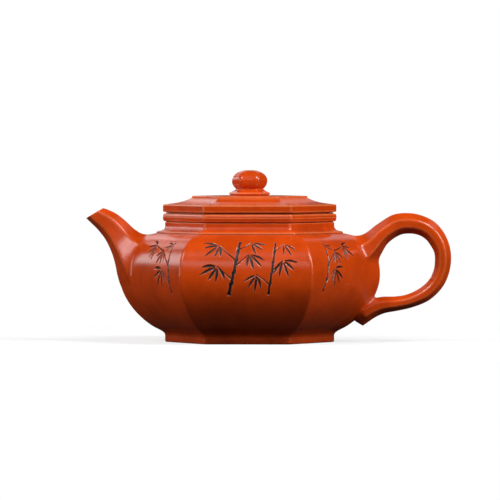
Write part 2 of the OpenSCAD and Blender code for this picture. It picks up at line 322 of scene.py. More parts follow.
# Each noise is its size, detail and roughness; each speck its size and where its dot ends and fills
grainLook = dict(fine=[2600.0, 4.0, 0.6], soft=[420.0, 2.0, 0.5], wide=[55.0, 3.0, 0.5],
                 cloud=[130.0, 5.0, 0.62], fineShare=0.7, softShare=0.3, wideShare=0.55,
                 cloudShare=0.45, mottle=[0.34, 0.66], paleSpeck=[1500.0, 0.20, 0.12],
                 darkSpeck=[1050.0, 0.17, 0.09], picked=[0.72, 0.80])
sheenAndShadeLook = dict(broken=[240.0, 4.0, 0.65], gaps=[0.3, 0.6, 0.7, 1.0], creaseShade=[0.12, 0.7])


# Grain of the clay: sand specks, cloudy mottling and a faint unevenness from the paddle
def buildGrain(g):
    group, put, out = newGroup(
        "clayGrain", {"grainScale": 1.0}, ["height", "ripple", "mottle", "paleSpeck", "darkSpeck"])
    place = objectPlace(group)
    scale = put.outputs["grainScale"]
    grains = {}
    for label in ("fine", "soft", "wide", "cloud"):
        size, detail, roughness = g[label]
        grains[label] = noise(group, place, times(group, scale, size), detail, roughness)
    for label in ("paleSpeck", "darkSpeck"):
        size, ends, fills = g[label]
        cells = addNode(group, "TexVoronoi", feature="F1")
        group.links.new(place, cells.inputs["Vector"])
        group.links.new(times(group, scale, size), cells.inputs["Scale"])
        chosen = addNode(group, "SeparateColor")
        group.links.new(cells.outputs["Color"], chosen.inputs[0])
        dot = span(group, cells.outputs["Distance"], ends, fills)
        picked = span(group, chosen.outputs[0], *g["picked"])
        group.links.new(times(group, dot, picked), out.inputs[label])
    mottle = plus(group, times(group, grains["wide"], g["wideShare"]),
                  times(group, grains["cloud"], g["cloudShare"]))
    height = plus(group, times(group, grains["fine"], g["fineShare"]),
                  times(group, grains["soft"], g["softShare"]))
    group.links.new(height, out.inputs["height"])
    group.links.new(grains["wide"], out.inputs["ripple"])
    group.links.new(span(group, mottle, *g["mottle"]), out.inputs["mottle"])
    return group


# Painted highlight on rubbed-bright ridges and painted shade in creases, from the stored bends
def buildSheenAndShade(r):
    group, put, out = newGroup(
        "ridgeSheenAndCreaseShade", {"ridgeLow": 0.15, "ridgeHigh": 0.6}, ["ridge", "creaseShade"])
    broken = noise(group, objectPlace(group), *r["broken"])
    ridge = span(group, storedValue(group, "convex"), put.outputs["ridgeLow"],
                 put.outputs["ridgeHigh"])
    group.links.new(times(group, ridge, span(group, broken, *r["gaps"])), out.inputs["ridge"])
    group.links.new(span(group, storedValue(group, "concave"), *r["creaseShade"]),
                    out.inputs["creaseShade"])
    return group


clayGrain = buildGrain(grainLook)
ridgeSheenAndCreaseShade = buildSheenAndShade(sheenAndShadeLook)


def useGroup(tree, group, **values):
    node = addNode(tree, "Group")
    node.node_tree = group
    for label, value in values.items():
        node.inputs[label].default_value = value
    return node


# The rubbed colour is burnish and painted highlight on ridges; the dark colour marks specks and
# also paints shade in creases
clayLook = dict(deep=srgb(188, 61, 5), mid=srgb(212, 71, 7),
                pale=srgb(236, 102, 30), paleShare=0.45,
                rubbedHighlight=srgb(247, 142, 84), rubbedHighlightShare=0.42, rubSmooth=0.05,
                darkSpeckAndShade=srgb(104, 26, 8), darkShare=0.5, creaseShadeShare=0.7, creaseRough=0.2,
                ink=srgb(5, 4, 8), inkGrain=[900.0, 4.0, 0.7], inkSpan=[0.28, 0.5, 0.88, 1.0],
                inkRough=0.15, roughness=0.20, mottleRough=0.06, leastRough=0.12,
                grainBump=0.000018, rippleBump=0.00004, ior=1.52)


# The clay is one recipe; how smooth it is and how much ink it carries differ
def makeClay(name, look, inked=False):
    material = bpy.data.materials.new(name)
    material.use_nodes = True
    tree = material.node_tree
    shader = tree.nodes["Principled BSDF"]
    grain = useGroup(tree, clayGrain, grainScale=1.0).outputs
    sheenAndShade = useGroup(tree, ridgeSheenAndCreaseShade).outputs
    colour = mixColour(tree, grain["mottle"], look["deep"], look["mid"])
    # Specks are the clay's own; the ridge mix is burnish and painted highlight, the crease mix
    # painted shade
    for share, amount, tint in ((grain["paleSpeck"], "paleShare", "pale"),
                                (grain["darkSpeck"], "darkShare", "darkSpeckAndShade"),
                                (sheenAndShade["ridge"], "rubbedHighlightShare", "rubbedHighlight"),
                                (sheenAndShade["creaseShade"], "creaseShadeShare", "darkSpeckAndShade")):
        colour = mixColour(tree, times(tree, share, look[amount]), colour, look[tint])
    rough = plus(tree, times(tree, grain["mottle"], look["mottleRough"]), look["roughness"])
    rough = plus(tree, rough, times(tree, sheenAndShade["creaseShade"], look["creaseRough"]))
    rough = calc(tree, "SUBTRACT", rough, times(tree, sheenAndShade["ridge"], look["rubSmooth"]))
    if inked:
        patchy = span(tree, noise(tree, objectPlace(tree), *look["inkGrain"]), *look["inkSpan"])
        wet = times(tree, storedValue(tree, "ink"), patchy)
        colour = mixColour(tree, wet, colour, look["ink"])
        rough = plus(tree, rough, times(tree, wet, look["inkRough"]))
    tree.links.new(colour, shader.inputs["Base Color"])
    tree.links.new(calc(tree, "MAXIMUM", rough, look["leastRough"], clamp=True),
                   shader.inputs["Roughness"])
    height = plus(tree, times(tree, grain["height"], look["grainBump"]),
                  times(tree, grain["ripple"], look["rippleBump"]))
    bump = addNode(tree, "Bump")
    bump.inputs["Strength"].default_value = 1.0
    bump.inputs["Distance"].default_value = 1.0
    tree.links.new(height, bump.inputs["Height"])
    tree.links.new(bump.outputs["Normal"], shader.inputs["Normal"])
    shader.inputs["IOR"].default_value = look["ior"]
    return material


polishedClay = makeClay("polishedClay", clayLook)
# The engraved walls take little painted ridge highlight, so the stroke edges are not paled
engravedClay = makeClay("engravedClay", dict(clayLook, rubbedHighlightShare=0.1), inked=True)
# A darker copy of the clay for the foot, with less ridge highlight, is painted shade under the
# belly's overhang
shadedFootClay = makeClay("shadedFootClay", dict(clayLook, rubbedHighlightShare=0.06,
                                     deep=srgb(172, 54, 8), mid=srgb(196, 64, 10)))
scrapedClay = makeClay("scrapedClay", dict(clayLook, deep=srgb(168, 66, 30), mid=srgb(192, 86, 44),
                                           roughness=0.62, grainBump=0.00005))
say("clays mixed")


# Walls: one closed shell round the pot, ridges rounded, finest where it is engraved

# The pulls say how far the curve is drawn out from each of its points, across and up
wall = dict(bellyR=flatRadius("wall_front"), bellyZ=29.5, thick=3.0, ridgeR=1.7, innerRidgeR=0.4,
            topR=flatRadius("shoulder_slab"), topZ=highEnd("wall_front"),
            flareR=37.0, flareZ=7.0, footR=flatRadius("foot_ring"), footZ=highEnd("foot_ring"),
            footPull=[0.1, 1.6], underFlare=[-1.9, -1.4], overFlare=[6.4, 4.7], bellyPull=9,
            topPull=[10, -1.8], lowStep=0.9, highStep=0.6, plainStep=1.2, innerStep=1.6,
            plainColumns=20)
engraving = dict(step=0.21, low=-9.0, high=18.5, depth=0.45, edge=[-0.02, 0.28], shallow=0.72,
                 deeper=0.28, deepAt=0.8, ink=[0.2, 0.7], margin=2.6, wobble=0.035, around=1.5,
                 seed=11)
uncut = -9.0  # counts as far from every stroke, in millimetres


def drawn(start, out, back, end, steps):
    return bezier([start, np.add(start, out), np.add(end, back), end], steps)


def wallCurve(w, fine=40):
    foot, flare = [w["footR"], w["footZ"]], [w["flareR"], w["flareZ"]]
    belly, top = [w["bellyR"], w["bellyZ"]], [w["topR"], w["topZ"]]
    pull = w["bellyPull"]
    return joined(drawn(foot, w["footPull"], w["underFlare"], flare, fine // 2),
                  drawn(flare, w["overFlare"], [0, -pull], belly, fine),
                  drawn(belly, [0, pull], w["topPull"], top, fine))


# Bamboo, drawn on each wall in millimetres: u to the right, v up the wall from the belly line.
# A stalk is [u, v, u, v, width], its nodes spaced along it; a twig is [u, v, u, v];
# a spray is [u, v, heading, leaves, length].
bamboo = {
    "front": dict(
        stalks=[[-7.6, -8.2, -3.0, 16.6, 1.9], [9.4, -8.0, 12.2, 16.0, 1.35]],
        twigs=[[-6.2, -1.0, -12.4, 4.6], [-4.6, 7.4, -11.8, 14.6], [-5.2, 4.4, 1.2, 10.2],
               [-3.6, 12.4, 2.0, 16.2], [10.6, 2.0, 15.8, 7.2], [9.8, -3.4, 4.4, 1.0],
               [11.6, 10.6, 16.0, 15.4]],
        sprays=[[-12.4, 4.6, 236, 5, 9.2], [-11.8, 14.6, 222, 5, 8.4], [1.2, 10.2, 300, 4, 8.6],
                [2.0, 16.2, 322, 3, 7.4], [15.8, 7.2, 288, 5, 8.8], [4.4, 1.0, 250, 4, 8.2],
                [16.0, 15.4, 300, 3, 6.4]]),
    "left": dict(
        stalks=[[19.2, -7.6, 14.4, 15.8, 1.4]],
        twigs=[[18.2, -2.6, 11.6, 3.0], [16.6, 5.0, 8.8, 11.4], [8.8, 11.4, 0.6, 13.8]],
        sprays=[[11.6, 3.0, 238, 5, 8.8], [9.4, 11.0, 250, 4, 7.8], [0.6, 13.8, 214, 5, 8.2],
                [14.6, 14.6, 196, 3, 6.4]]),
    "right": dict(
        stalks=[[-18.6, -6.8, -12.0, 15.6, 1.5]],
        twigs=[[-17.2, -2.4, -9.6, 3.4], [-14.8, 5.2, -6.2, 11.6], [-6.2, 11.6, 1.6, 13.6]],
        sprays=[[-9.6, 3.4, 300, 5, 8.8], [-6.8, 11.2, 286, 4, 7.8], [1.6, 13.6, 322, 5, 8.2],
                [-12.2, 14.4, 344, 2, 6.2]]),
}


# How the blade draws: a stalk in segments that sway and taper, thin twigs, and leaves that
# fan out in degrees, with their reach and width as shares of the spray's length
brush = dict(segment=5.2, leastSegments=3, gap=0.026, sway=0.5, swayTurn=3.0, swayEnd=0.8,
             taper=0.25, twig=0.6, twigBow=0.4, fan=[23, 31], reach=[0.82, 1.12], outer=0.1,
             stem=0.5, leaf=[0.19, 0.235], leafBow=0.25, roundEnd=0.35)


def strokeDepth(u, v, start, end, width, waist, bow):
    start, end = np.array(start, float), np.array(end, float)
    along = end - start
    length = np.linalg.norm(along)
    along /= length
    x = ((u - start[0]) * along[0] + (v - start[1]) * along[1]) / length
    y = (v - start[1]) * along[0] - (u - start[0]) * along[1]
    inX = np.clip(x, 0, 1)
    half = width / 2 * waist(inX)
    ends = np.minimum(x, 1 - x) * length
    middle = bow * 4 * inX * (1 - inX)
    return np.minimum(half - np.abs(y - middle), ends + width * brush["roundEnd"])


# Width along a stroke, as a share of its full width
def leafShape(x):
    return 2.05 * x ** 0.75 * (1 - x) ** 0.9


def stalkShape(x):
    return 0.78 + 0.32 * (2 * x - 1) ** 4


def twigShape(x):
    return 1.15 - 0.4 * x


# Each stroke is its start, end, width, outline and how far it bows sideways
def bambooStrokes(plan, b, rng):
    strokes = []
    for u0, v0, u1, v1, width in plan["stalks"]:
        count = max(b["leastSegments"], round(math.hypot(u1 - u0, v1 - v0) / b["segment"]))
        cuts = np.linspace(0, 1, count + 1)
        for low, high in zip(cuts[:-1] + b["gap"], cuts[1:]):
            sway = b["sway"] * math.sin(b["swayTurn"] * low)
            strokes.append(([u0 + (u1 - u0) * low + sway, v0 + (v1 - v0) * low],
                            [u0 + (u1 - u0) * high + sway * b["swayEnd"], v0 + (v1 - v0) * high],
                            width * (1 - b["taper"] * low), stalkShape, 0.0))
    for u0, v0, u1, v1 in plan["twigs"]:
        bow = rng.uniform(-b["twigBow"], b["twigBow"])
        strokes.append(([u0, v0], [u1, v1], b["twig"], twigShape, bow))
    for u0, v0, heading, leaves, length in plan["sprays"]:
        for i in range(leaves):
            off = i - (leaves - 1) / 2
            turn = math.radians(heading + off * rng.uniform(*b["fan"]))
            reach = length * rng.uniform(*b["reach"]) * (1 - b["outer"] * abs(off))
            root = [u0 + b["stem"] * math.cos(turn), v0 + b["stem"] * math.sin(turn)]
            tip = [u0 + reach * math.cos(turn), v0 + reach * math.sin(turn)]
            width = length * rng.uniform(*b["leaf"])
            strokes.append((root, tip, width, leafShape, b["leafBow"] * off))
    return strokes


# How far inside the nearest stroke each point lies, in millimetres
def carve(u, v, plan, e, seed):
    rng = np.random.default_rng(seed)
    wobble = e["wobble"] * (np.sin(u * 3.1 + v * 1.7) + np.sin(v * 4.3 - u * 2.2))
    inside = np.full(u.shape, uncut)
    for start, end, width, shape, bow in bambooStrokes(plan, brush, rng):
        near = np.ones(u.shape, bool)
        for place, a, b in ((u, start[0], end[0]), (v, start[1], end[1])):
            near &= (place > min(a, b) - e["around"]) & (place < max(a, b) + e["around"])
        d = strokeDepth(u[near], v[near], start, end, width, shape, bow)
        inside[near] = np.maximum(inside[near], d + wobble[near])
    return inside


def smooth(x, low, high):
    t = np.clip((x - low) / (high - low), 0, 1)
    return t * t * (3 - 2 * t)


def wallRows(w, columns, engraved):
    curve = wallCurve(w)
    lengths = runLengths(curve)
    belly = lengths[np.argmin(np.abs(curve[:, 1] - w["bellyZ"]))]
    if engraved:
        low, high = belly + engraving["low"], belly + engraving["high"]
        s = np.concatenate([np.arange(0, low, w["lowStep"]),
                            np.arange(low, high, engraving["step"]),
                            np.arange(high, lengths[-1], w["highStep"]), [lengths[-1]]])
    else:
        s = np.concatenate([np.arange(0, lengths[-1] - w["plainStep"] / 4, w["plainStep"]),
                            [lengths[-1]]])
    outer = readAt(curve, lengths, s)
    normal = np.gradient(outer, axis=0)
    normal = np.stack([normal[:, 1], -normal[:, 0]], 1)
    normal /= np.linalg.norm(normal, axis=1)[:, None]
    rows = hexRows(ridged(outer, w["ridgeR"]), columns)
    return rows, outer, normal, s - belly


def buildWalls(w, e):
    fineColumns = int(round(2 * w["bellyR"] * math.tan(math.pi / 6) / e["step"]))
    columns = [w["plainColumns"]] * 3 + [fineColumns] * 3
    rows, outer, normal, v = wallRows(w, columns, True)
    ink = np.zeros(rows.shape[:2])
    last = 0
    for k, plan in enumerate((None, None, None, "left", "front", "right")):
        first = last + ridgeSteps + 1
        last = first + columns[k]
        if plan is None:
            continue
        face = math.radians(60 * k + 30)
        side = np.array([-math.sin(face), math.cos(face)])
        out = np.array([math.cos(face), math.sin(face)])
        part = rows[:, first:last]
        u = part[..., :2] @ side
        inside = carve(u, np.repeat(v[:, None], last - first, 1), bamboo[plan], e, e["seed"] + k)
        halfWidth = (outer[:, 0] * math.tan(math.pi / 6))[:, None]
        inside[np.abs(u) > halfWidth - e["margin"]] = uncut
        cut = smooth(inside, *e["edge"])
        deep = e["depth"] * cut * (e["shallow"] + e["deeper"] * smooth(inside, 0, e["deepAt"]))
        outward = np.concatenate([out[None, :] * normal[:, :1], normal[:, 1:]], 1)
        part -= deep[..., None] * outward[:, None, :]
        ink[:, first:last] = smooth(cut, *e["ink"])
    inner = beside(outer, w["thick"])
    inner[0] = [w["footR"] - w["thick"], w["footZ"]]
    inner = joined(inner[:1], evenly(inner[1:], w["innerStep"]))[::-1]
    allRows = np.concatenate([rows, hexRows(ridged(inner, w["innerRidgeR"]), columns)])
    m, n = allRows.shape[:2]
    hidden = (np.arange(m) >= len(rows) - 1).repeat(n)
    piece = makePiece("potWall", allRows.reshape(-1, 3), gridFaces(m, n, True),
                      [engravedClay, scrapedClay], chosen=hidden.astype(int))
    values = np.zeros(m * n, np.float32)
    values[:ink.size] = ink.ravel()
    piece.data.attributes.new("ink", "FLOAT", "POINT").data.foreach_set("value", values)
    return piece


finishPiece(buildWalls(wall, engraving), "pot", "clay", "wall_front", "wall_left_front",
            "wall_right_front", "wall_back", "wall_left_back", "wall_right_back")
say("walls thrown up and engraved")

# Foot, shoulder, neck and mouth

foot = dict(flatR=flatRadius("foot_ring"), high=highEnd("foot_ring"), width=4.6, edge=0.7,
            hollow=2.0)
shoulder = dict(stepR=35.5, stepZ=highEnd("shoulder_slab") - 0.25, slope=0.05, chamfer=0.3,
                ledgeZ=highEnd("shoulder_slab"), under=lowEnd("shoulder_slab"), tuck=0.9,
                tuckRidgeR=0.4, ease=0.16)
neck = dict(flatR=32.2, low=lowEnd("neck_band"), high=highEnd("neck_band"), mouthR=28.8,
            ridgeR=1.6, flare=1.7, flarePull=[0.6, 0.3, 1.1], flareTop=2.4, groove=0.45,
            grooveFrom=0.45, grooveTo=0.2, ease=0.15)
rim = dict(flatR=flatRadius("mouth_moulding"), low=lowEnd("mouth_moulding"),
           high=highEnd("mouth_moulding"), edge=0.7, tuck=0.1, lowIn=0.2, highIn=0.15,
           seam=1.2, gap=0.32, ease=0.15)


def footOutline(f):
    inner, rebate = f["flatR"] - f["width"], f["flatR"] - wall["thick"]
    return ridged(joined(
        arc([f["flatR"] - f["edge"], f["edge"]], f["edge"], -90, 0, 6),
        [[f["flatR"], f["high"]], [rebate, f["high"]], [rebate, f["hollow"]], [inner, f["hollow"]]],
        arc([inner + f["edge"], f["edge"]], f["edge"], 180, 270, 6)), wall["ridgeR"])


def shoulderOutline(s):
    r = neck["ridgeR"]
    return np.array([
        [wall["topR"], wall["topZ"], wall["ridgeR"]], [s["stepR"], wall["topZ"] + s["slope"], r],
        [s["stepR"], s["stepZ"] - s["chamfer"], r], [s["stepR"] - s["chamfer"], s["stepZ"], r],
        [neck["flatR"] + neck["flare"], s["ledgeZ"], r], [neck["mouthR"], s["ledgeZ"], r],
        [neck["mouthR"], s["under"], r], [wall["topR"] - s["tuck"], s["under"], s["tuckRidgeR"]]])


def neckOutline(n):
    flat, mouth, low, high = n["flatR"], n["mouthR"], n["low"], n["high"]
    across, up, above = n["flarePull"]
    return ridged(joined(
        bezier([[flat + n["flare"], low], [flat + across, low + up],
                [flat, low + above], [flat, low + n["flareTop"]]], 12),
        [[flat, high - n["grooveFrom"]], [flat - n["groove"], high - n["grooveTo"]],
         [flat - n["groove"], high], [mouth, high], [mouth, low]]), n["ridgeR"])


def rimOutline(m):
    flat, low, high, edge = m["flatR"], m["low"], m["high"], m["edge"]
    return ridged(joined(
        [[neck["flatR"] - m["tuck"], low]],
        arc([flat - edge - m["lowIn"], low + edge], edge, -90, -30, 6),
        [[flat, (low + high - m["gap"]) / 2]],
        arc([flat - edge - m["highIn"], high - m["gap"] - edge], edge, 10, 90, 8),
        [[flat - m["seam"], high - m["gap"]], [flat - m["seam"], high],
         [neck["mouthR"], high], [neck["mouthR"], low]]), neck["ridgeR"])


finishPiece(hexPiece("footRing", footOutline(foot), shadedFootClay), "pot", "clay", "foot_ring")
finishPiece(hexPiece("shoulderStep", eased(shoulderOutline(shoulder), shoulder["ease"]),
                     polishedClay), "pot", "clay", "shoulder_slab")
finishPiece(hexPiece("neckBand", eased(neckOutline(neck), neck["ease"]), polishedClay),
            "pot", "clay", "neck_band")
finishPiece(hexPiece("mouthMoulding", eased(rimOutline(rim), rim["ease"]), polishedClay),
            "pot", "clay", "mouth_moulding")
say("foot, shoulder and mouth luted on")

# Spout and handle: six-sided sections drawn out along a curve, then smoothed into the wall

bellyCorner = wall["bellyR"] / cos30
# x is measured out from the belly's ridge
spoutKeys = [  # under ridge x and z, top ridge x and z, half width
    [-4.5, 17, -25, 37, 10.4], [-1, 23.5, -20.5, 43.5, 10.1], [0.7, 28.6, -16, 46.3, 9.4],
    [1.5, 32.6, -12.6, 47, 8.5], [2.5, 36.6, -9.8, 47.7, 7.3], [4.1, 40.8, -6.6, 49.8, 6],
    [6.3, 45, -3.2, 53, 5], [9.4, 48.9, 0.7, 56.1, 4.3], [12.3, 51.8, 4.2, 57.8, 3.9],
    [14.6, 54, 6.6, 58.6, 3.7]]
handleKeys = [  # outer ridge x and z, inner ridge x and z, half width
    [-19, 43.4, -7.4, 26.6, 9.6], [-13.6, 45.8, -2.4, 32.8, 8.9], [-7.4, 47.4, 0.3, 38, 7.2],
    [-1.8, 51.5, 3.4, 43, 5.4], [5.2, 55.8, 8.4, 46.4, 4.5], [12.3, 56.6, 12.9, 47.1, 4.2],
    [18.4, 55.4, 16.9, 46.3, 4.1], [23.8, 52.6, 19.8, 44.4, 4], [27.8, 48, 21.9, 41.5, 3.8],
    [30.3, 42.2, 23.2, 38.8, 3.7], [31.03, 36, 23.4, 35.5, 3.5], [29.9, 29.4, 22.8, 31.6, 3.4],
    [26.9, 23.4, 20.8, 27.3, 3.3], [21.2, 18, 17, 23.8, 3.3], [13.8, 14.9, 11.8, 21.2, 3.3],
    [7.2, 13.4, 6.6, 20.2, 3.5], [1.6, 12.3, -0.4, 19.9, 3.9], [-3, 10.1, -7.6, 17.6, 4.4],
    [-7.4, 6.9, -15, 11.6, 4.6]]
# Low and high say how far up a section its side ridges lie; places along a part count in keys
spoutLook = dict(side=-1, low=0.22, high=0.27, ridgeR=1.0, thick=2.0, thinTo=0.65, blend=1.9,
                 root=5, rootSteps=110, steps=50, lip=0.12, lipTurn=[15, 165], lipSteps=6,
                 bore=0.15)
handleLook = dict(side=1, low=0.32, high=0.30, ridgeR=0.9, blend=2.2, root=3.5, rootSteps=90,
                  steps=110, tail=0.65, tailFrom=1.7, tailOver=0.7)
sideInset = 0.9  # a section's sides come in by this share when its ridges come in by the inset


def keyAt(keys, t):
    keys = np.array(keys, float)
    k = int(min(math.floor(t), len(keys) - 2))
    a, b = keys[max(k - 1, 0)], keys[k]
    c, d = keys[k + 1], keys[min(k + 2, len(keys) - 1)]
    t -= k
    return (b + (c - a) * t / 2 + (2 * a - 5 * b + 4 * c - d) * t * t / 2
            + (3 * b - a - 3 * c + d) * t ** 3 / 2)


def section(key, look, inset=0.0, roundSteps=6, flatSteps=3):
    low = np.array([look["side"] * (bellyCorner + key[0]), key[1]])
    high = np.array([look["side"] * (bellyCorner + key[2]), key[3]])
    h = np.linalg.norm(high - low)
    up = (high - low) / h
    h, w = h - 2 * inset, key[4] - sideInset * inset
    corners = np.array([[0, 0], [w, look["low"] * h], [w, (1 - look["high"]) * h],
                        [0, h], [-w, (1 - look["high"]) * h], [-w, look["low"] * h]])
    runs = []
    for i, c in enumerate(corners):
        a, b = corners[i - 1] - c, corners[(i + 1) % 6] - c
        p = c + a * min(sideShare, look["ridgeR"] / np.linalg.norm(a))
        q = c + b * min(sideShare, look["ridgeR"] / np.linalg.norm(b))
        t = np.linspace(0, 1, roundSteps + 1)[:, None]
        runs.append(p * (1 - t) ** 2 + c * 2 * t * (1 - t) + q * t * t)
    ring = []
    for i, run in enumerate(runs):
        ring.append(run)
        t = np.linspace(0, 1, flatSteps + 2)[1:-1, None]
        ring.append(run[-1] * (1 - t) + runs[(i + 1) % 6][0] * t)
    ring = np.concatenate(ring)
    spine = low + up * (ring[:, 1:] + inset)
    return np.column_stack([spine[:, 0], ring[:, 0], spine[:, 1]])


def closeTree(points, faces):
    return BVHTree.FromPolygons([Vector(p) for p in points], [tuple(f) for f in faces])


touching = 0.02  # nearer than this, a face's own normal is used


def signedDistance(tree, p):
    place, normal, _, distance = tree.find_nearest(Vector(p))
    away = np.array(p) - np.array(place)
    normal = np.array(normal)
    sign = 1.0 if away @ normal >= 0 else -1.0
    if distance > touching:
        normal = sign * away / distance
    return sign * distance, normal


# The walls and shoulder as one plain solid, to measure from
def plainWallTree(w, across=10):
    columns = [across] * 6
    top = hexRows(shoulderOutline(shoulder)[1:5], columns)
    rows = np.concatenate([wallRows(w, columns, False)[0], top])
    m, n = rows.shape[:2]
    faces = gridFaces(m, n, False).tolist()
    faces += [list(range(n))[::-1], [(m - 1) * n + j for j in range(n)]]
    return closeTree(rows.reshape(-1, 3), faces)


def loft(keys, look, ts, insets=None):
    insets = np.zeros(len(ts)) if insets is None else insets
    rows = []
    for t, inset in zip(ts, insets):
        key = keyAt(keys, t)
        if "tail" in look:  # the tail of the handle is cut back on both sides to a point
            share = np.clip((t - len(keys) + look["tailFrom"]) / look["tailOver"], 0, 1)
            key[4] *= 1 - look["tail"] * share
        rows.append(section(key, look, inset))
    return np.array(rows)


def outwardNormals(grid):
    across = np.roll(grid, -1, 1) - np.roll(grid, 1, 1)
    normals = np.cross(np.gradient(grid, axis=0), across)
    normals /= np.linalg.norm(normals, axis=2)[..., None]
    outward = grid - grid.mean(axis=1, keepdims=True)
    return normals * np.sign((normals * outward).sum())


joint = dict(steps=9, rows=26, depth=1.3, sink=0.03, fadeIn=1.3, splay=0.5,
             cap=[0.03, 0.2, 0.4, 0.6, 0.8, 0.93])


# The rows of a part from its root outward: hidden clay inside the wall, a hollow joint smoothed
# over the width blend where each line of the part leaves the wall, then the part itself.
def rootRows(keys, look, host, ts):
    grid = loft(keys, look, ts)
    normals = outwardNormals(grid)
    columns = []
    for line, owns in zip(grid.transpose(1, 0, 2), normals.transpose(1, 0, 2)):
        lengths = runLengths(line)
        away = np.array([signedDistance(host, p)[0] for p in line])
        inside = np.nonzero(away < 0)[0]
        leaves = 0.0
        if len(inside):
            k = inside.max()
            leaves = lengths[k] + away[k] / (away[k] - away[k + 1]) * (lengths[k + 1] - lengths[k])
        share = smooth(leaves, 0, joint["fadeIn"] * look["blend"])
        blend = look["blend"] * share
        start = readAt(line, lengths, leaves)
        own = readAt(owns, lengths, leaves)
        hostNormal = signedDistance(host, start)[1]
        out = own - (own @ hostNormal) * hostNormal
        out /= np.linalg.norm(out)
        foot, footNormal = start, hostNormal
        if share > 0:
            off, footNormal = signedDistance(host, start + out * blend)
            foot = start + out * blend - footNormal * (off + joint["sink"] * share)
        deep = foot - (footNormal * joint["depth"] + out * joint["splay"]) * share
        t = np.linspace(0, 1, joint["steps"] + 1)[:, None]
        end = readAt(line, lengths, leaves + blend)
        hollow = (1 - t) ** 2 * foot + 2 * t * (1 - t) * start + t * t * end
        onward = np.linspace(leaves + blend, lengths[-1], joint["rows"] + 1)[1:]
        columns.append(np.concatenate([[deep], hollow, readAt(line, lengths, onward)]))
    return np.array(columns).transpose(1, 0, 2)


def sunkNoDeeper(host, p):
    away, normal = signedDistance(host, p)
    return p - normal * min(0.0, away + joint["depth"])


# Closes a root: the last ring shrinks to nothing, and no deeper in the wall than the joint goes
def rootCap(ring, host):
    middle = ring.mean(axis=0)
    return np.array([[sunkNoDeeper(host, p) for p in middle * (1 - share) + ring * share]
                     for share in joint["cap"]])


def buildSpout(keys, look, host):
    last, lip, thick, thinTo = len(keys) - 1, look["lip"], look["thick"], look["thinTo"]
    root = rootRows(keys, look, host, np.linspace(0, look["root"], look["rootSteps"]))
    lipTurn = np.radians(np.linspace(*look["lipTurn"], look["lipSteps"]))
    tipThick = thick * thinTo
    outTs = np.linspace(look["root"], last - lip, look["steps"])[1:]
    inTs = np.linspace(last - look["bore"], 0, look["steps"])
    ts = np.concatenate([outTs, last - lip * (1 - np.sin(lipTurn)), inTs])
    insets = np.concatenate([np.zeros(len(outTs)), tipThick * (1 - np.cos(lipTurn)) / 2,
                             thick * (1 - (1 - thinTo) * inTs / last)])
    rest = loft(keys, look, ts, insets)
    bore = len(rest) - len(inTs)
    rest[bore:] = [[sunkNoDeeper(host, p) for p in ring] for ring in rest[bore:]]
    rows = np.concatenate([root, rest])
    m, n = rows.shape[:2]
    faces = gridFaces(m, n, True)[:, ::-1]
    return makePiece("spoutTube", rows.reshape(-1, 3), faces, [polishedClay])


def buildHandle(keys, look, host):
    last, root, steps = len(keys) - 1, look["root"], look["rootSteps"]
    upper = rootRows(keys, look, host, np.linspace(0, root, steps))
    lower = rootRows(keys, look, host, np.linspace(last, last - root, steps))[::-1]
    middle = loft(keys, look, np.linspace(root, last - root, look["steps"])[1:-1])
    rows = np.concatenate([rootCap(upper[0], host), upper, middle, lower,
                           rootCap(lower[-1], host)[::-1]])
    m, n = rows.shape[:2]
    faces = gridFaces(m, n, False)[:, ::-1].tolist()
    faces += [list(range(n)), [(m - 1) * n + j for j in reversed(range(n))]]
    return makePiece("handleLoop", rows.reshape(-1, 3), faces, [polishedClay])


wallTree = plainWallTree(wall)
finishPiece(buildSpout(spoutKeys, spoutLook, wallTree), "pot", "clay", "spout")
finishPiece(buildHandle(handleKeys, handleLook, wallTree), "pot", "clay", "handle")
say("spout and handle luted on")

# Lid

# The eave and crest are the pulls of the roof's curve: in from the lid's flats and up from the
# eave, then out from the plate's flats and up by a share of the rise
lid = dict(flatR=flatRadius("lid_edge_moulding"), low=lowEnd("lid_edge_moulding"),
           roof=highEnd("lid_edge_moulding"), under=lowEnd("lid_roof_slab"),
           lipR=flatRadius("lid_lip"), lipThick=2.3, lipLow=lowEnd("lid_lip"), edge=0.5,
           ridgeR=1.6, vent=0.9, gap=0.30, eaveIn=0.5, eave=[5.2, 0.5], crest=[2.6, 0.45],
           crestOut=0.3, plateR=flatRadius("lid_plate"), plate=lowEnd("lid_plate"),
           plateTop=highEnd("lid_plate"), plateEdge=0.35, plateSlope=0.2,
           edgeEase=0.2, roofEase=0.12, plateEase=0.1)
knob = dict(flatR=7.05, collarR=7.9, low=lowEnd("knob"), high=highEnd("knob"), waist=5.4,
            ridgeR=2.6, bulge=0.45, underPull=[0.5, 1, 1.4], overPull=[2.7, 2.8], topOut=0.25,
            topDip=0.2)
collar = dict(tuck=0.6, edge=0.5, edgeZ=0.8, ridgeR=1.0, ease=0.12,
              neck=[[-0.3, 1.25], [-1.4, 1.8]], waistPull=[0.4, 2.1])


def lidEdgeOutline(d):
    flat, low, roof, edge = d["flatR"], d["low"] + d["gap"], d["roof"], d["edge"]
    inner, seam = d["lipR"] - d["lipThick"], d["flatR"] - rim["seam"]
    return ridged(joined(
        [[seam, d["low"]], [seam, low]],
        arc([flat - edge, low + edge], edge, -90, 0, 6),
        arc([flat - edge, roof - edge], edge, 0, 90, 6),
        [[inner, roof], [inner, d["low"]]]), d["ridgeR"])


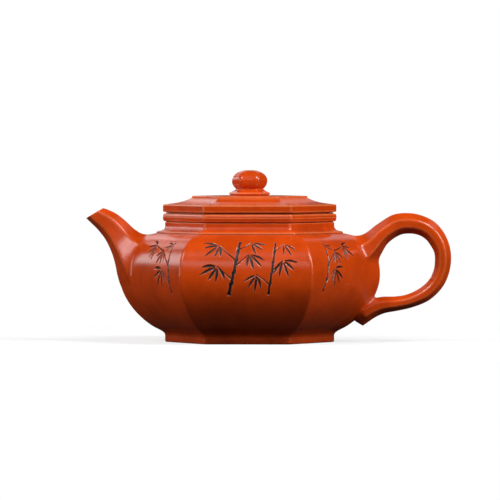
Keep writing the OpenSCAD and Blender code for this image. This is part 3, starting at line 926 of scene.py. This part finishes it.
def roofOutline(d):
    inner, roof, plate = d["lipR"] - d["lipThick"], d["roof"], d["plate"]
    eaveIn, eaveUp = d["eave"]
    crestOut, crestUp = d["crest"]
    return ridged(joined(
        [[d["vent"], d["under"]], [inner, d["under"]], [inner, roof]],
        bezier([[d["flatR"] - d["eaveIn"], roof], [d["flatR"] - eaveIn, roof + eaveUp],
                [d["plateR"] + crestOut, roof + (plate - roof) * crestUp],
                [d["plateR"] + d["crestOut"], plate]], 16),
        [[d["vent"], plate]]), d["ridgeR"])


def plateOutline(d):
    edge, top = d["plateEdge"], d["plateTop"]
    return ridged(joined(
        [[d["vent"], d["plate"]], [d["plateR"], d["plate"]]],
        arc([d["plateR"] - edge, top - d["plateSlope"] - edge], edge, 0, 90, 5),
        [[knob["collarR"], top], [d["vent"], top]]), d["ridgeR"])


def lipOutline(d):
    edge, inner = d["edge"], d["lipR"] - d["lipThick"]
    return ridged([[inner, d["lipLow"]], [d["lipR"] - edge, d["lipLow"]],
                   [d["lipR"], d["lipLow"] + edge], [d["lipR"], d["low"]], [inner, d["low"]]],
                  d["ridgeR"])


def collarOutline(c, d, k):
    flat, low = k["collarR"], d["plateTop"]
    pulls = [[flat + across, low + up] for across, up in c["neck"]]
    across, up = c["waistPull"]
    return ridged(joined(
        [[d["vent"], low], [flat - c["tuck"], low]],
        arc([flat - c["edge"], low + c["edgeZ"]], c["edge"], -45, 60, 8),
        bezier(pulls + [[k["waist"] + across, low + up], [k["waist"], k["low"]]], 10),
        [[d["vent"], k["low"]]]), c["ridgeR"])


def knobOutline(d, k):
    flat, low, high = k["flatR"], k["low"], k["high"]
    wide = low + (high - low) * k["bulge"]
    under, underUp, underWide = k["underPull"]
    overUp, overIn = k["overPull"]
    return ridged(joined(
        [[d["vent"], low]],
        bezier([[k["waist"], low], [flat - under, low + underUp],
                [flat, wide - underWide], [flat, wide]], 12),
        bezier([[flat, wide], [flat, wide + overUp],
                [flat - overIn, high], [d["vent"] + k["topOut"], high]], 16),
        [[d["vent"], high - k["topDip"]]]), k["ridgeR"])


finishPiece(hexPiece("lidEdge", eased(lidEdgeOutline(lid), lid["edgeEase"]), polishedClay),
            "lid", "clay", "lid_edge_moulding")
finishPiece(hexPiece("lidRoof", eased(roofOutline(lid), lid["roofEase"]), polishedClay),
            "lid", "clay", "lid_roof_slab")
finishPiece(hexPiece("lidPlate", eased(plateOutline(lid), lid["plateEase"]), polishedClay),
            "lid", "clay", "lid_plate")
finishPiece(hexPiece("lidLip", eased(lipOutline(lid), lid["edgeEase"]), scrapedClay),
            "lid", "clay_unpolished", "lid_lip")
finishPiece(hexPiece("knobCollar", eased(collarOutline(collar, lid, knob), collar["ease"]),
                     polishedClay), "lid", "clay", "knob_collar")
finishPiece(hexPiece("knobBead", knobOutline(lid, knob), polishedClay), "lid", "clay", "knob")
say("lid and knob turned out")

# The base slab and the strainer ball keep their solids and get the scraped clay
for node in ("base_slab", "ball_strainer"):
    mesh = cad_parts[node].data
    mesh.materials.clear()
    mesh.materials.append(scrapedClay)

# Camera, floor and lights

camera = dict(distance=2.9, turn=1.7, height=0.101, aim=(0.00017, 0.0, 0.04015), lens=478.5,
              near=0.1, far=40)
floorLook = dict(size=6.0, shade=0.30, bounce=0.03, shadeFrom=0.16, shadeTo=0.30)
worldLook = dict(fill=0.01, mirror=0.02)
black, white = (0, 0, 0, 1), (1, 1, 1, 1)


def placeCamera(c):
    view = bpy.data.cameras.new("camera")
    view.lens = c["lens"]
    holder = bpy.data.objects.new("camera", view)
    turn = math.radians(c["turn"])
    away = c["distance"]
    holder.location = (away * math.sin(turn), -away * math.cos(turn), c["height"])
    ahead = Vector(c["aim"]) - holder.location
    holder.rotation_euler = ahead.to_track_quat("-Z", "Y").to_euler()
    view.clip_start, view.clip_end = c["near"], c["far"]
    bpy.context.scene.collection.objects.link(holder)
    bpy.context.scene.camera = holder


def seenDirectly(tree, path):
    return calc(tree, "MAXIMUM", path["Is Camera Ray"], path["Is Transmission Ray"])


# Seen directly the floor is pale and keeps a soft shadow; what it throws back on the pot is dim
def layFloor(f):
    material = bpy.data.materials.new("paleFloor")
    material.use_nodes = True
    tree = material.node_tree
    tree.nodes.clear()
    out = addNode(tree, "OutputMaterial")
    shade = addNode(tree, "BsdfDiffuse")
    dim = addNode(tree, "BsdfDiffuse")
    glow = addNode(tree, "Emission")
    both = addNode(tree, "AddShader")
    pick = addNode(tree, "MixShader")
    reach = addNode(tree, "VectorMath", operation="LENGTH")
    tree.links.new(objectPlace(tree), reach.inputs[0])
    share = span(tree, reach.outputs["Value"], f["shadeFrom"], f["shadeTo"], f["shade"], 0.0)
    seen = seenDirectly(tree, addNode(tree, "LightPath").outputs)
    dim.inputs["Color"].default_value = (f["bounce"],) * 3 + (1,)
    glow.inputs["Strength"].default_value = 1.0
    for made, socket in ((mixColour(tree, share, black, white), shade.inputs["Color"]),
                         (mixColour(tree, share, white, black), glow.inputs["Color"]),
                         (seen, pick.inputs[0]), (dim.outputs[0], pick.inputs[1]),
                         (glow.outputs[0], both.inputs[0]), (shade.outputs[0], both.inputs[1]),
                         (both.outputs[0], pick.inputs[2]), (pick.outputs[0], out.inputs[0])):
        tree.links.new(made, socket)
    half = f["size"] / 2
    mesh = bpy.data.meshes.new("floor")
    corners = [(-half, -half, 0), (half, -half, 0), (half, half, 0), (-half, half, 0)]
    mesh.from_pydata(corners, [], [(0, 1, 2, 3)])
    mesh.materials.append(material)
    floor = bpy.data.objects.new("floor", mesh)
    bpy.context.scene.collection.objects.link(floor)


def lightWorld(w):
    world = bpy.data.worlds.new("studio")
    bpy.context.scene.world = world
    world.use_nodes = True
    tree = world.node_tree
    back = tree.nodes["Background"]
    path = addNode(tree, "LightPath").outputs
    level = plus(tree, times(tree, seenDirectly(tree, path), 1 - w["fill"]), w["fill"])
    level = plus(tree, level, times(tree, path["Is Glossy Ray"], w["mirror"] - w["fill"]))
    back.inputs["Color"].default_value = white
    tree.links.new(level, back.inputs["Strength"])


# A softbox stands at a turn (0 is +x, 90 is behind) and a rise, both in degrees, at a set
# distance from a point in the pot, and faces that point
boxDistance = 1.3
potMiddle = 0.035
softboxes = {  # turn, rise, width, height, power
    "keyRight": [316, 46, 0.34, 0.42, 10.6],
    "fillRight": [340, 27, 0.42, 0.42, 6.0],
    "keyLeft": [223, 46, 0.34, 0.42, 6.3],
    "spotLeft": [236, 29, 0.22, 0.20, 2.3],
    "frontTop": [266, 47, 0.50, 0.30, 0.4],
    "frontBand": [264, 23, 0.28, 0.22, 0.6],
    "highRight": [20, 46, 0.34, 0.42, 0.4],
    "lowLeft": [182, 10, 0.56, 0.42, 2.2],
    "stripLeft": [208, 5, 0.10, 0.22, 0.8],
    "stripRight": [332, 5, 0.10, 0.22, 0.8],
    "lowBack": [118, 10, 0.62, 0.42, 3.6],
    "sideLeft": [149, 17, 0.34, 0.38, 1.4],
    "backLeft": [126, 29, 0.30, 0.42, 0.5],
    "backCentre": [102, 27, 0.36, 0.42, 0.6],
    "backRight": [82, 27, 0.42, 0.42, 0.3],
    "highBack": [140, 46, 0.34, 0.42, 0.3],
}


def hangLights(boxes):
    for name, (turn, rise, width, height, power) in boxes.items():
        lamp = bpy.data.lights.new(name, "AREA")
        lamp.shape = "RECTANGLE"
        lamp.size, lamp.size_y = width, height
        lamp.energy = power
        holder = bpy.data.objects.new(name, lamp)
        turn, rise = math.radians(turn), math.radians(rise)
        level = math.cos(rise)
        way = Vector((math.cos(turn) * level, math.sin(turn) * level, math.sin(rise)))
        holder.location = way * boxDistance + Vector((0, 0, potMiddle))
        holder.rotation_euler = way.to_track_quat("Z", "Y").to_euler()
        holder.visible_camera = False
        bpy.context.scene.collection.objects.link(holder)


placeCamera(camera)
layFloor(floorLook)
lightWorld(worldLook)
hangLights(softboxes)
bpy.context.scene.view_settings.view_transform = "Standard"
say("camera and lights set")
